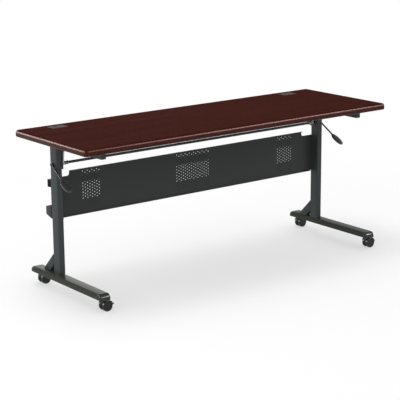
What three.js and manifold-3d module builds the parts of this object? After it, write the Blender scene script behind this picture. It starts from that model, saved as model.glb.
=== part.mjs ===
// Flip top training table: a laminate top on two pivots, T legs on twin wheel casters,
// a modesty panel, a rear rail, a cable trough and a cross shaft with two release levers.
// Millimetres. X runs along the table, +Y to its rear, +Z up, origin on the floor at the centre.

import * as THREE from 'three';
import { mergeVertices } from 'three/addons/utils/BufferGeometryUtils.js';
import Module from 'manifold-3d';

const wasm = await Module();
wasm.setup();

// Driving dimensions

const seat = 0.2; // gap left between two pieces that rest on each other
const runningFit = 0.4; // radial gap between a pin and the piece that turns on it
const overlap = 1; // how far a joined block runs into its neighbour, or a cutter past a face
const arcSteps = 4; // straight steps in a quarter of a round corner
const roundSides = 16; // sides of a round bar or hole

const topLength = 1800;
const topDepth = 600;
const topHeight = 750;
const topThickness = 32;
const topCornerRadius = 16.5;
const bandThickness = 15;
const bandUpperRadius = 14;
const bandLowerRadius = 6;

const grommetInsetX = 192; // from the end of the top
const grommetInsetY = 65; // from the rear edge of the top
const grommetLength = 80;
const grommetDepth = 54;
const grommetFlange = 3;
const grommetFlangeHeight = 1.5;
const grommetWall = 2.5;
const grommetLedge = 3;
const grommetCorner = 1; // corner radius of the pocket, the throat and the cap
const grommetPocketDepth = 4.5;
const grommetDrop = 27;
const capPlay = 0.4;
const capNotchLength = 20;
const capNotchDepth = 10;

const columnInset = 99; // from the end of the top
const columnY = 104.5;
const columnWidth = 30;
const columnDepth = 55;
const columnWall = 2;
const columnRadius = 5;
const columnClearance = 10; // from the column's top to the board

const footWidth = 56;
const footHeight = 30;
const footInset = 27; // from the top's front and rear edges to the tube's ends
const footWall = 2.5;
const footRadius = 7;
const footCapLength = 25;
const footCapPlug = 4.5;
const footCapNose = 24; // rounding of the upper edge, seen from the side
const footCapCorner = 9; // rounding of the two corners, seen from above

const braceRise = 90;
const braceThroatRise = 36;
const braceHeelInner = 34;
const braceHeelOuter = 90;

const armWidth = 25;
const armHeight = 36;
const armWall = 2.5;
const armInset = 60; // from the top's front and rear edges
const earRadius = 15;
const earDrop = 3.8; // how far the pivot is under the arm

const pivotInset = 6; // from the column's rear face
const pivotRadius = 6;
const pivotHeadRadius = 10;
const pivotHeadLength = 5;
const pivotHeadSides = 6; // a hexagon head

const plateThickness = 5;
const plateFrontReach = 3; // past the column's front face
const plateRearReach = 11; // past the column's rear face
const plateTail = 22; // below the shaft
const plateCorner = 14;
const armPlay = 1;

const bumperDepth = 12;
const bumperHeight = 14;
const bumperGap = 3; // from the bumper to the pawl

const catchRise = 8.2; // above the arm's lower edge
const catchRadius = 4;

const shaftY = 104;
const shaftDrop = 70; // below the pivot
const shaftRadius = 6.5;
const bushWall = 2.2;
const bushFlange = 3.5;
const bushFlangeThickness = 2;
const bushReach = 3;

const pawlThickness = 6;
const pawlHubLength = 12;
const pawlHubRadius = 10;
const pawlReach = 15;
const pawlHeel = 6;
const pawlNose = 3; // above the catch pin's middle
const pawlNoseLength = 28;
const pawlGap = 2.5; // from the nose to the catch pin

const springWire = 2;
const springTurns = 6;
const springPitch = 3.4;
const springClearance = 1;
const springLeg = 10;
const springSteps = 8;
const springSides = 6;

const leverRodRadius = 4.2;
const leverHubRadius = 9;
const leverHubLength = 10;
const leverHubGap = 0.6;
const leverRodLength = 100;
const leverLean = 2.5; // how far each lever leans outward, in degrees
const leverRodDip = 32.5;
const leverGripDip = 30.5;
const gripLength = 84;
const gripWidth = 40;
const gripNeck = 16;
const gripThickness = 12;
const gripEdge = 3;
const gripEdgeSteps = 3; // straight steps in the rounding of the grip's edge
const gripBelly = 0.45; // where the grip is widest, as a share of its length
const gripNeckPull = 0.12; // how far the curve keeps the neck's width, as a share of the length
const gripBellyPull = 0.3; // how far the curve keeps the belly's width on each side of the belly
const gripTipPull = 0.6; // how blunt the tip is, as a share of half the width
const gripSocket = 30;
const gripSetback = 7;

const panelThickness = 2;
const panelDrop = 46; // below the shaft
const panelHeight = 218;
const panelNotchLength = 69;
const panelNotchDepth = 25;
const panelNotchRadius = 12;
const panelHem = 9;
const panelFlange = 48;

const bracketThickness = 4;
const bracketWidth = 26;
const bracketReach = 4; // above the rail

const railHeight = 36;
const railDepth = 25;
const railRise = 150; // above the panel's lower edge
const railWall = 2;
const railRadius = 3;

const troughSheet = 2;
const troughDepth = 46;
const troughRise = 2; // above the panel's lower edge
const troughFrontHeight = 66;
const troughRearLift = 14;
const troughRearHeight = 38;

const casterInset = 38; // from the top's front and rear edges
const casterTrail = 22.5;
const wheelSides = 24;
const wheelRadius = 25;
const wheelWidth = 15;
const wheelSpacing = 26;
const wheelTyre = 3;
const wheelDish = 2;
const axleRadius = 3;
const hoodClearance = 1;
const hoodWall = 1.5;
const hoodWidth = 45;
const hoodSkirt = 12; // from the axle up to the hood's lower edge
const webThickness = 9.4;
const webInset = 5;
const webDrop = 12;
const neckRadius = 7.5;
const neckGap = 0.4;
const swivelGap = 5.5; // from the hood to the foot
const stemRadius = 5;
const stemLength = 20;
const pedalLength = 10.5; // past the hood
const pedalHeight = 6;
const pedalWidth = 20;
const pedalGap = 0.6;
const pedalDrop = 1; // from the axle down to the pedal's lower face
const pedalLeaf = 2.5; // thickness of the leaf that runs up beside the hood
const pedalLap = 5; // how far the leaf covers the hood

// Places worked out from the driving dimensions

const topUnderside = topHeight - topThickness;
const grommetX = topLength / 2 - grommetInsetX;
const grommetY = topDepth / 2 - grommetInsetY;
const flangeLength = grommetLength + 2 * grommetFlange;
const flangeDepth = grommetDepth + 2 * grommetFlange;
const flangeRadius = grommetFlange + grommetWall;
const flangeBottom = topHeight - grommetFlangeHeight;

const hoodRadius = wheelRadius + hoodClearance + hoodWall;
const webRadius = wheelRadius - webInset;
const casterY = topDepth / 2 - casterInset;
const footBottom = wheelRadius + hoodRadius + swivelGap;
const footTop = footBottom + footHeight;
const footHalfLength = topDepth / 2 - footInset;

const columnX = topLength / 2 - columnInset;
const columnInner = columnX - columnWidth / 2;
const columnOuter = columnX + columnWidth / 2;
const columnFront = columnY - columnDepth / 2;
const columnRear = columnY + columnDepth / 2;
const columnTop = topUnderside - columnClearance;
const footX = columnInner + footWidth / 2;

const plateInner = columnInner - seat - plateThickness;
const plateFront = columnFront - plateFrontReach;
const plateRear = columnRear + plateRearReach;
const armX = plateInner - armPlay - armWidth / 2;
const armTop = topUnderside - seat;
const armBottom = armTop - armHeight;
const armRear = topDepth / 2 - armInset;
const armFront = -armRear;
const pivotY = columnRear - pivotInset;
const pivotZ = armBottom - earDrop;
const bumperY = shaftY - pawlReach - bumperGap - bumperDepth / 2;

const shaftZ = pivotZ - shaftDrop;
const plateBottom = shaftZ - plateTail;
const catchY = shaftY - pawlReach - pawlGap - catchRadius;
const catchZ = armBottom + catchRise;
const pawlTop = catchZ + pawlNose;
const bushRadius = shaftRadius + runningFit + bushWall;
const leverX = columnOuter + seat + bushFlangeThickness + leverHubGap + leverHubLength / 2;

const panelTop = shaftZ - panelDrop;
const panelBottom = panelTop - panelHeight;
const panelNotchX = columnInner - panelNotchLength;
const railBottom = panelBottom + railRise;
const troughBottom = panelBottom + troughRise;
const bracketTop = railBottom + railHeight + bracketReach;
const bracketFront = columnRear + seat;
const railFront = bracketFront + bracketThickness + seat;

// Materials

const colours = {
  mahogany: { color: 0x4a2620, roughness: 0.38, metalness: 0 },
  edge: { color: 0x3f1b15, roughness: 0.35, metalness: 0 },
  charcoal: { color: 0x3d4142, roughness: 0.42, metalness: 0.35 },
  footPaint: { color: 0x6a6b65, roughness: 0.4, metalness: 0.35 },
  sheet: { color: 0x33373a, roughness: 0.45, metalness: 0.3 },
  black: { color: 0x232525, roughness: 0.5, metalness: 0 },
  grip: { color: 0x464a48, roughness: 0.6, metalness: 0 },
  grommet: { color: 0x5c5854, roughness: 0.65, metalness: 0 },
  steel: { color: 0x9a9da0, roughness: 0.3, metalness: 1 },
  rubber: { color: 0x1b1b1b, roughness: 0.85, metalness: 0 },
};

// Small helpers

function toSolid(geometry) {
  const bare = geometry.index ? geometry.toNonIndexed() : geometry.clone();
  bare.deleteAttribute('normal');
  bare.deleteAttribute('uv');
  const merged = mergeVertices(bare, 1e-4);
  const vertProperties = new Float32Array(merged.attributes.position.array);
  const triVerts = new Uint32Array(merged.index.array);
  return new wasm.Manifold(new wasm.Mesh({ numProp: 3, vertProperties, triVerts }));
}

function toGeometry(solid) {
  const mesh = solid.getMesh();
  const geometry = new THREE.BufferGeometry();
  geometry.setAttribute('position', new THREE.BufferAttribute(new Float32Array(mesh.vertProperties), 3));
  geometry.setIndex(new THREE.BufferAttribute(new Uint32Array(mesh.triVerts), 1));
  return geometry;
}

function join(geometries) {
  return toGeometry(geometries.map(toSolid).reduce((sum, next) => sum.add(next)));
}

function cut(geometry, tools) {
  return toGeometry(tools.map(toSolid).reduce((rest, tool) => rest.subtract(tool), toSolid(geometry)));
}

function common(first, second) {
  return toGeometry(toSolid(first).intersect(toSolid(second)));
}

// A box given by its low and high corner.
function block(low, high) {
  const size = high.map((value, axis) => value - low[axis]);
  const middle = high.map((value, axis) => (value + low[axis]) / 2);
  return new THREE.BoxGeometry(...size).translate(...middle);
}

// Round bars along one axis, from one place on that axis to another.
function barX(radius, from, to, y, z, sides = roundSides) {
  const bar = new THREE.CylinderGeometry(radius, radius, to - from, sides).rotateZ(Math.PI / 2);
  return bar.translate((from + to) / 2, y, z);
}

function barY(radius, from, to, x, z, sides = roundSides) {
  return new THREE.CylinderGeometry(radius, radius, to - from, sides).translate(x, (from + to) / 2, z);
}

function barZ(radius, from, to, x, y, sides = roundSides) {
  const bar = new THREE.CylinderGeometry(radius, radius, to - from, sides).rotateX(Math.PI / 2);
  return bar.translate(x, y, (from + to) / 2);
}

// A rounded rectangle centred on a point.
function roundedRectangle(width, height, radius, x = 0, y = 0) {
  const shape = new THREE.Shape();
  const right = x + width / 2;
  const top = y + height / 2;
  const left = x - width / 2;
  const bottom = y - height / 2;
  shape.moveTo(left + radius, bottom);
  shape.lineTo(right - radius, bottom);
  shape.absarc(right - radius, bottom + radius, radius, -Math.PI / 2, 0);
  shape.lineTo(right, top - radius);
  shape.absarc(right - radius, top - radius, radius, 0, Math.PI / 2);
  shape.lineTo(left + radius, top);
  shape.absarc(left + radius, top - radius, radius, Math.PI / 2, Math.PI);
  shape.lineTo(left, bottom + radius);
  shape.absarc(left + radius, bottom + radius, radius, Math.PI, Math.PI * 1.5);
  return shape;
}

function polygon(points) {
  return new THREE.Shape(points.map(([x, y]) => new THREE.Vector2(x, y)));
}

// Prisms of a shape drawn in the XY, YZ or XZ plane.
function prismZ(shape, from, to) {
  const options = { depth: to - from, bevelEnabled: false, curveSegments: arcSteps };
  return new THREE.ExtrudeGeometry(shape, options).translate(0, 0, from);
}

function prismX(shape, from, to) {
  const turn = new THREE.Matrix4().makeBasis(
    new THREE.Vector3(0, 1, 0),
    new THREE.Vector3(0, 0, 1),
    new THREE.Vector3(1, 0, 0),
  );
  return prismZ(shape, from, to).applyMatrix4(turn);
}

function prismY(shape, from, to) {
  const turn = new THREE.Matrix4().makeBasis(
    new THREE.Vector3(-1, 0, 0),
    new THREE.Vector3(0, 0, 1),
    new THREE.Vector3(0, 1, 0),
  );
  return prismZ(shape, from, to).applyMatrix4(turn);
}

// The same piece on the other end of the table.
function mirrored(geometry) {
  const flat = (geometry.index ? geometry.toNonIndexed() : geometry.clone()).scale(-1, 1, 1);
  const place = flat.attributes.position;
  for (let corner = 0; corner < place.count; corner += 3) {
    const second = new THREE.Vector3().fromBufferAttribute(place, corner + 1);
    const third = new THREE.Vector3().fromBufferAttribute(place, corner + 2);
    place.setXYZ(corner + 1, third.x, third.y, third.z);
    place.setXYZ(corner + 2, second.x, second.y, second.z);
  }
  return flat;
}

const table = new THREE.Group();

function add(name, geometry, look) {
  const mesh = new THREE.Mesh(geometry, new THREE.MeshStandardMaterial(colours[look]));
  mesh.name = name;
  table.add(mesh);
}

// The piece as drawn is the right one, and its mirror image is the left one.
function addPair(name, geometry, look) {
  add(`${name}_right`, geometry, look);
  add(`${name}_left`, mirrored(geometry), look);
}

// Top board, its edge band and the two cable grommets

// The board has a through hole and a shallow rebate for each grommet, which lies flush.
function topBoard() {
  const inset = 2 * (bandThickness + seat);
  const radius = topCornerRadius - bandThickness - seat;
  const outline = roundedRectangle(topLength - inset, topDepth - inset, radius);
  const rebateLength = flangeLength + 2 * seat;
  const rebateDepth = flangeDepth + 2 * seat;
  const rebateFloor = flangeBottom - seat;
  const rebates = [];
  for (const side of [-1, 1]) {
    const x = side * grommetX;
    outline.holes.push(roundedRectangle(grommetLength, grommetDepth, grommetWall, x, grommetY));
    const rebate = roundedRectangle(rebateLength, rebateDepth, flangeRadius + seat, x, grommetY);
    rebates.push(prismZ(rebate, rebateFloor, topHeight + overlap));
  }
  return cut(prismZ(outline, topUnderside, topHeight), rebates);
}

// A slab with the top's outline, its upper and lower edges rounded alike.
function roundedSlab(edgeRadius, from, to) {
  const shrink = 2 * edgeRadius;
  const outline = roundedRectangle(topLength - shrink, topDepth - shrink, topCornerRadius - edgeRadius);
  const options = {
    depth: to - from - shrink,
    bevelThickness: edgeRadius,
    bevelSize: edgeRadius,
    bevelSegments: arcSteps,
    curveSegments: arcSteps,
  };
  return new THREE.ExtrudeGeometry(outline, options).translate(0, 0, from + edgeRadius);
}

// Two slabs joined give the full upper rounding and the small lower one.
function edgeBand() {
  const lowerTop = topHeight - bandUpperRadius + bandLowerRadius;
  const outer = join([
    roundedSlab(bandUpperRadius, topUnderside, topHeight),
    roundedSlab(bandLowerRadius, topUnderside, lowerTop),
  ]);
  const inset = 2 * bandThickness;
  const inner = roundedRectangle(topLength - inset, topDepth - inset, topCornerRadius - bandThickness);
  return cut(outer, [prismZ(inner, topUnderside - overlap, topHeight + overlap)]);
}

const pocketLength = grommetLength - 2 * (seat + grommetWall);
const pocketDepth = grommetDepth - 2 * (seat + grommetWall);

function grommet() {
  const flange = roundedRectangle(flangeLength, flangeDepth, flangeRadius, grommetX, grommetY);
  const sleeveLength = grommetLength - 2 * seat;
  const sleeveDepth = grommetDepth - 2 * seat;
  const sleeve = roundedRectangle(sleeveLength, sleeveDepth, grommetWall, grommetX, grommetY);
  const pocket = roundedRectangle(pocketLength, pocketDepth, grommetCorner, grommetX, grommetY);
  const throatLength = pocketLength - 2 * grommetLedge;
  const throatDepth = pocketDepth - 2 * grommetLedge;
  const throat = roundedRectangle(throatLength, throatDepth, grommetCorner, grommetX, grommetY);
  const body = join([
    prismZ(flange, flangeBottom, topHeight),
    prismZ(sleeve, topHeight - grommetDrop, topHeight),
  ]);
  return cut(body, [
    prismZ(pocket, topHeight - grommetPocketDepth, topHeight + overlap),
    prismZ(throat, topHeight - grommetDrop - overlap, topHeight + overlap),
  ]);
}

function grommetCap() {
  const length = pocketLength - 2 * capPlay;
  const depth = pocketDepth - 2 * capPlay;
  const outline = roundedRectangle(length, depth, grommetCorner, grommetX, grommetY);
  const lid = prismZ(outline, topHeight - grommetPocketDepth + seat, topHeight);
  const rear = grommetY + depth / 2;
  const notchFloor = topHeight - grommetPocketDepth - overlap;
  const notchLow = [grommetX - capNotchLength / 2, rear - capNotchDepth, notchFloor];
  const notchHigh = [grommetX + capNotchLength / 2, rear + overlap, topHeight + overlap];
  return cut(lid, [block(notchLow, notchHigh)]);
}

add('tabletop', topBoard(), 'mahogany');
add('edge_band', edgeBand(), 'edge');
addPair('grommet', grommet(), 'grommet');
addPair('grommet_cap', grommetCap(), 'grommet');

// Support arms: steel channels open below, with an ear that turns on the pivot pin

function arm() {
  const side = new THREE.Shape();
  side.moveTo(armFront, armBottom);
  side.lineTo(pivotY - earRadius, armBottom);
  side.lineTo(pivotY - earRadius, pivotZ);
  side.absarc(pivotY, pivotZ, earRadius, Math.PI, Math.PI * 2);
  side.lineTo(pivotY + earRadius, armBottom);
  side.lineTo(armRear, armBottom);
  side.lineTo(armRear, armTop);
  side.lineTo(armFront, armTop);
  const outside = prismX(side, armX - armWidth / 2, armX + armWidth / 2);
  const half = armWidth / 2 - armWall;
  const inside = block(
    [armX - half, armFront + armWall, pivotZ - 2 * earRadius],
    [armX + half, armRear - armWall, armTop - armWall],
  );
  const hole = barX(pivotRadius + runningFit, armX - armWidth, armX + armWidth, pivotY, pivotZ);
  return cut(outside, [inside, hole]);
}

function catchPin() {
  const half = armWidth / 2 - armWall - seat;
  return barX(catchRadius, armX - half, armX + half, catchY, catchZ);
}

addPair('support_arm', arm(), 'charcoal');
addPair('catch_pin', catchPin(), 'steel');

// Columns with their pivot plates, pivot pins and stop bumpers

function column() {
  const outer = roundedRectangle(columnWidth, columnDepth, columnRadius, columnX, columnY);
  const innerWidth = columnWidth - 2 * columnWall;
  const innerDepth = columnDepth - 2 * columnWall;
  const innerRadius = columnRadius - columnWall;
  outer.holes.push(roundedRectangle(innerWidth, innerDepth, innerRadius, columnX, columnY));
  const tube = prismZ(outer, footTop + seat, columnTop);
  const from = columnInner - overlap;
  const to = columnOuter + overlap;
  return cut(tube, [barX(bushRadius + seat, from, to, shaftY, shaftZ)]);
}

function pivotPlate() {
  const side = new THREE.Shape();
  side.moveTo(plateFront, plateBottom);
  side.lineTo(columnRear, plateBottom);
  side.lineTo(columnRear, pivotZ - 2 * earRadius);
  side.lineTo(plateRear, pivotZ - earRadius);
  side.lineTo(plateRear, columnTop - plateCorner);
  side.absarc(plateRear - plateCorner, columnTop - plateCorner, plateCorner, 0, Math.PI / 2);
  side.lineTo(plateFront, columnTop);
  const plate = prismX(side, plateInner, plateInner + plateThickness);
  return cut(plate, [
    barX(pivotRadius + seat, plateInner - overlap, columnInner, pivotY, pivotZ),
    barX(bushRadius + seat, plateInner - overlap, columnInner, shaftY, shaftZ),
  ]);
}

function pivotPin() {
  const armInner = armX - armWidth / 2;
  const headOuter = armInner - armPlay;
  return join([
    barX(pivotRadius, headOuter - overlap, columnInner - seat, pivotY, pivotZ),
    barX(pivotHeadRadius, headOuter - pivotHeadLength, headOuter, pivotY, pivotZ, pivotHeadSides),
  ]);
}

function stopBumper() {
  const low = [armX - armWidth / 2, bumperY - bumperDepth / 2, armBottom - seat - bumperHeight];
  const high = [plateInner - seat, bumperY + bumperDepth / 2, armBottom - seat];
  return block(low, high);
}

addPair('column', column(), 'charcoal');
addPair('pivot_plate', pivotPlate(), 'charcoal');
addPair('pivot_pin', pivotPin(), 'steel');
addPair('stop_bumper', stopBumper(), 'rubber');

// Feet, their end caps and the rear braces

function foot() {
  const middle = footBottom + footHeight / 2;
  const outer = roundedRectangle(footWidth, footHeight, footRadius, -footX, middle);
  const innerWidth = footWidth - 2 * footWall;
  const innerHeight = footHeight - 2 * footWall;
  outer.holes.push(roundedRectangle(innerWidth, innerHeight, footRadius - footWall, -footX, middle));
  const tube = prismY(outer, -footHalfLength, footHalfLength);
  const holes = [-casterY, casterY].map((y) =>
    barZ(stemRadius + runningFit, footBottom - overlap, footBottom + footWall + overlap, footX, y));
  return cut(tube, holes);
}

// A cap for the rear end, with a round nose seen from the side and round corners seen from above.
function footCap() {
  const start = footHalfLength + seat;
  const tip = start + footCapLength;
  const side = new THREE.Shape();
  side.moveTo(start, footBottom);
  side.lineTo(tip, footBottom);
  side.lineTo(tip, footTop - footCapNose);
  side.absarc(tip - footCapNose, footTop - footCapNose, footCapNose, 0, Math.PI / 2);
  side.lineTo(start, footTop);
  const middle = footBottom + footHeight / 2;
  const section = roundedRectangle(footWidth, footHeight, footRadius, -footX, middle);
  const bar = prismY(section, start, tip);
  const plan = new THREE.Shape();
  const left = footX - footWidth / 2;
  const right = footX + footWidth / 2;
  plan.moveTo(left, start);
  plan.lineTo(right, start);
  plan.lineTo(right, tip - footCapCorner);
  plan.absarc(right - footCapCorner, tip - footCapCorner, footCapCorner, 0, Math.PI / 2);
  plan.lineTo(left + footCapCorner, tip);
  plan.absarc(left + footCapCorner, tip - footCapCorner, footCapCorner, Math.PI / 2, Math.PI);
  const rounded = common(bar, prismX(side, left, right));
  const nose = common(rounded, prismZ(plan, footBottom, footTop));
  const plugWidth = footWidth - 2 * (footWall + seat);
  const plugHeight = footHeight - 2 * (footWall + seat);
  const plug = roundedRectangle(plugWidth, plugHeight, footRadius - footWall, -footX, middle);
  return join([nose, prismY(plug, start - footCapPlug, start + overlap)]);
}

// The same cap turned round to close the front end.
function turnedToFront(cap) {
  return cap.translate(-footX, 0, 0).rotateZ(Math.PI).translate(footX, 0, 0);
}

function brace() {
  const front = columnRear + seat;
  const bottom = footTop + seat;
  const side = polygon([
    [front, footTop + braceRise],
    [front, footTop + braceThroatRise],
    [front + braceHeelInner, bottom],
    [front + braceHeelOuter, bottom],
  ]);
  return prismX(side, columnInner, columnOuter);
}

addPair('foot', foot(), 'footPaint');
addPair('foot_cap_front', turnedToFront(footCap()), 'black');
addPair('foot_cap_rear', footCap(), 'black');
addPair('brace', brace(), 'charcoal');

// Modesty panel, the brackets behind the columns, the rear rail and the cable trough

function modestyPanel() {
  const rear = columnRear;
  const front = rear - panelThickness;
  const end = columnInner - seat;
  const shoulder = panelTop - panelNotchDepth;
  const face = new THREE.Shape();
  face.moveTo(-end, panelBottom);
  face.lineTo(end, panelBottom);
  face.lineTo(end, shoulder);
  face.lineTo(panelNotchX + panelNotchRadius, shoulder);
  face.absarc(
    panelNotchX + panelNotchRadius,
    shoulder + panelNotchRadius,
    panelNotchRadius,
    -Math.PI / 2,
    -Math.PI,
    true,
  );
  face.lineTo(panelNotchX, panelTop);
  face.lineTo(-panelNotchX, panelTop);
  face.lineTo(-panelNotchX, shoulder + panelNotchRadius);
  face.absarc(
    -panelNotchX - panelNotchRadius,
    shoulder + panelNotchRadius,
    panelNotchRadius,
    0,
    -Math.PI / 2,
    true,
  );
  face.lineTo(-end, shoulder);
  const hemFront = front - panelHem;
  const hemEnd = end - panelThickness;
  return join([
    prismY(face, front, rear),
    block([-panelNotchX, hemFront, panelTop - panelThickness], [panelNotchX, front + overlap, panelTop]),
    block([-hemEnd, hemFront, panelBottom], [hemEnd, front + overlap, panelBottom + panelThickness]),
    block([hemEnd, front - panelFlange, panelBottom], [end, front + overlap, shoulder]),
    block([-end, front - panelFlange, panelBottom], [-hemEnd, front + overlap, shoulder]),
  ]);
}

function troughBracket() {
  const low = [columnX - bracketWidth / 2, bracketFront, troughBottom];
  const high = [columnX + bracketWidth / 2, bracketFront + bracketThickness, bracketTop];
  return block(low, high);
}

// Drawn on end in the YZ plane and run along the whole table.
function rearRail() {
  const middleY = railFront + railDepth / 2;
  const middleZ = railBottom + railHeight / 2;
  const outer = roundedRectangle(railDepth, railHeight, railRadius, middleY, middleZ);
  const innerDepth = railDepth - 2 * railWall;
  const innerHeight = railHeight - 2 * railWall;
  outer.holes.push(roundedRectangle(innerDepth, innerHeight, railRadius - railWall, middleY, middleZ));
  return prismX(outer, -columnOuter, columnOuter);
}

// Open on top: a tall front wall, a bottom that rises to the rear, and closed ends.
function cableTrough() {
  const front = railFront;
  const rear = front + troughDepth;
  const rim = troughBottom + troughFrontHeight;
  const rearBottom = troughBottom + troughRearLift;
  const rearTop = rearBottom + troughRearHeight;
  const outside = polygon([
    [front, troughBottom],
    [rear, rearBottom],
    [rear, rearTop],
    [front, rim],
  ]);
  const inside = polygon([
    [front + troughSheet, troughBottom + 2 * troughSheet],
    [rear - troughSheet, rearBottom + troughSheet],
    [rear - troughSheet, rearTop + 2 * troughSheet],
    [front + troughSheet, rim + 2 * troughSheet],
  ]);
  const body = prismX(outside, -columnOuter, columnOuter);
  return cut(body, [prismX(inside, troughSheet - columnOuter, columnOuter - troughSheet)]);
}

add('modesty_panel', modestyPanel(), 'sheet');
addPair('trough_bracket', troughBracket(), 'charcoal');
add('rear_rail', rearRail(), 'charcoal');
add('cable_trough', cableTrough(), 'sheet');

// Cross shaft with its bushes, latch pawls, return springs and release levers

// The direction in which a lever runs to the front when it dips by an angle, for the right one.
function leverWay(dipAngle) {
  const lean = THREE.MathUtils.degToRad(leverLean);
  const dip = THREE.MathUtils.degToRad(dipAngle);
  return new THREE.Vector3(Math.sin(lean), -Math.cos(lean) * Math.cos(dip), -Math.cos(lean) * Math.sin(dip));
}

const gripAlong = leverWay(leverGripDip);

// A round rod between two points.
function rod(radius, from, to, sides = roundSides) {
  const along = to.clone().sub(from);
  const upright = new THREE.Vector3(0, 1, 0);
  const turn = new THREE.Quaternion().setFromUnitVectors(upright, along.clone().normalize());
  const middle = from.clone().add(to).multiplyScalar(0.5);
  const bar = new THREE.CylinderGeometry(radius, radius, along.length(), sides);
  return bar.applyQuaternion(turn).translate(middle.x, middle.y, middle.z);
}

function shaftBush() {
  const inner = plateInner - bushReach;
  const shoulder = columnOuter + seat;
  const outer = shoulder + bushFlangeThickness;
  const body = join([
    barX(bushRadius, inner, shoulder + overlap, shaftY, shaftZ),
    barX(bushRadius + bushFlange, shoulder, outer, shaftY, shaftZ),
  ]);
  return cut(body, [barX(shaftRadius + runningFit, inner - overlap, outer + overlap, shaftY, shaftZ)]);
}

// The pawl stands up from the shaft into the arm, with its nose beside the catch pin.
function latchPawl() {
  const finger = polygon([
    [shaftY - pawlHubRadius + overlap, shaftZ],
    [shaftY + pawlHubRadius - overlap, shaftZ],
    [shaftY - pawlHeel, pawlTop - pawlNoseLength],
    [shaftY - pawlHeel, pawlTop],
    [shaftY - pawlReach, pawlTop],
    [shaftY - pawlReach, pawlTop - pawlNoseLength],
  ]);
  const body = join([
    prismX(finger, armX - pawlThickness / 2, armX + pawlThickness / 2),
    barX(pawlHubRadius, armX - pawlHubLength / 2, armX + pawlHubLength / 2, shaftY, shaftZ),
  ]);
  return cut(body, [barX(shaftRadius + seat, armX - pawlHubLength, armX + pawlHubLength, shaftY, shaftZ)]);
}

// One wound wire: a straight leg, the turns round the shaft, and a second leg.
function springPath() {
  const radius = shaftRadius + springClearance + springWire / 2;
  const start = armX - pawlHubLength / 2 - springWire;
  const points = [];
  points.push(new THREE.Vector3(start, shaftY + radius, shaftZ - springLeg));
  const count = springTurns * springSteps;
  for (let step = 0; step <= count; step += 1) {
    const angle = (step / springSteps) * Math.PI * 2;
    const x = start - (step / springSteps) * springPitch;
    const y = shaftY + radius * Math.cos(angle);
    const z = shaftZ + radius * Math.sin(angle);
    points.push(new THREE.Vector3(x, y, z));
  }
  points.push(new THREE.Vector3(start - springTurns * springPitch, shaftY + radius, shaftZ + springLeg));
  return points;
}

function leastTurnGap(points) {
  let least = Infinity;
  for (let first = 1; first < points.length - 1; first += 1) {
    for (let second = first + springSteps - 1; second < points.length - 1; second += 1) {
      least = Math.min(least, points[first].distanceTo(points[second]) - springWire);
    }
  }
  return least;
}

function returnSpring() {
  const points = springPath();
  console.log(`return spring: least gap between turns ${leastTurnGap(points).toFixed(2)} mm`);
  const section = new THREE.Shape();
  section.absarc(0, 0, springWire / 2, 0, Math.PI * 2);
  const curve = new THREE.CatmullRomCurve3(points, false, 'centripetal');
  const options = { steps: points.length, curveSegments: springSides / 2, extrudePath: curve };
  return new THREE.ExtrudeGeometry(section, options);
}

function gripSolid() {
  const half = gripWidth / 2;
  const outline = new THREE.Shape();
  const neck = gripNeck / 2;
  const belly = gripLength * gripBelly;
  const neckPull = gripLength * gripNeckPull;
  const beforeBelly = belly - gripLength * gripBellyPull;
  const afterBelly = belly + gripLength * gripBellyPull;
  const tipPull = half * gripTipPull;
  outline.moveTo(0, -neck);
  outline.bezierCurveTo(neckPull, -neck, beforeBelly, -half, belly, -half);
  outline.bezierCurveTo(afterBelly, -half, gripLength, -tipPull, gripLength, 0);
  outline.bezierCurveTo(gripLength, tipPull, afterBelly, half, belly, half);
  outline.bezierCurveTo(beforeBelly, half, neckPull, neck, 0, neck);
  const options = {
    depth: gripThickness - 2 * gripEdge,
    bevelThickness: gripEdge,
    bevelSize: gripEdge,
    bevelOffset: -gripEdge,
    bevelSegments: gripEdgeSteps,
    curveSegments: arcSteps,
  };
  const facing = new THREE.Vector3(1, 0, 0).cross(gripAlong).normalize().negate();
  const across = new THREE.Vector3().crossVectors(facing, gripAlong);
  const turn = new THREE.Matrix4().makeBasis(gripAlong, across, facing);
  turn.setPosition(leverEnds().mouth);
  const flat = new THREE.ExtrudeGeometry(outline, options).translate(0, 0, gripEdge - gripThickness / 2);
  return flat.applyMatrix4(turn);
}

function leverEnds() {
  const hub = new THREE.Vector3(leverX, shaftY, shaftZ);
  const bend = hub.clone().addScaledVector(leverWay(leverRodDip), leverRodLength);
  const mouth = bend.clone().addScaledVector(gripAlong, gripSetback);
  const tail = mouth.clone().addScaledVector(gripAlong, gripSocket);
  return { hub, bend, mouth, tail };
}

function lever() {
  const { hub, bend, tail } = leverEnds();
  const from = leverX - leverHubLength / 2;
  const to = leverX + leverHubLength / 2;
  const body = join([
    barX(leverHubRadius, from, to, shaftY, shaftZ),
    rod(leverRodRadius, hub, bend),
    new THREE.SphereGeometry(leverRodRadius, roundSides, roundSides / 2).translate(bend.x, bend.y, bend.z),
    rod(leverRodRadius, bend, tail),
  ]);
  return cut(body, [barX(shaftRadius + seat, from - overlap, to + overlap, shaftY, shaftZ)]);
}

function leverGrip() {
  const { bend, tail } = leverEnds();
  const socketEnd = tail.clone().addScaledVector(gripAlong, runningFit);
  return cut(gripSolid(), [rod(leverRodRadius + runningFit, bend, socketEnd)]);
}

const shaftEnd = leverX + leverHubLength / 2;
add('cross_shaft', barX(shaftRadius, -shaftEnd, shaftEnd, shaftY, shaftZ), 'charcoal');
addPair('shaft_bush', shaftBush(), 'black');
addPair('latch_pawl', latchPawl(), 'steel');
addPair('return_spring', returnSpring(), 'steel');
addPair('release_lever', lever(), 'black');
addPair('lever_grip', leverGrip(), 'grip');

// Twin wheel casters, drawn round their own swivel axis on the floor

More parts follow.
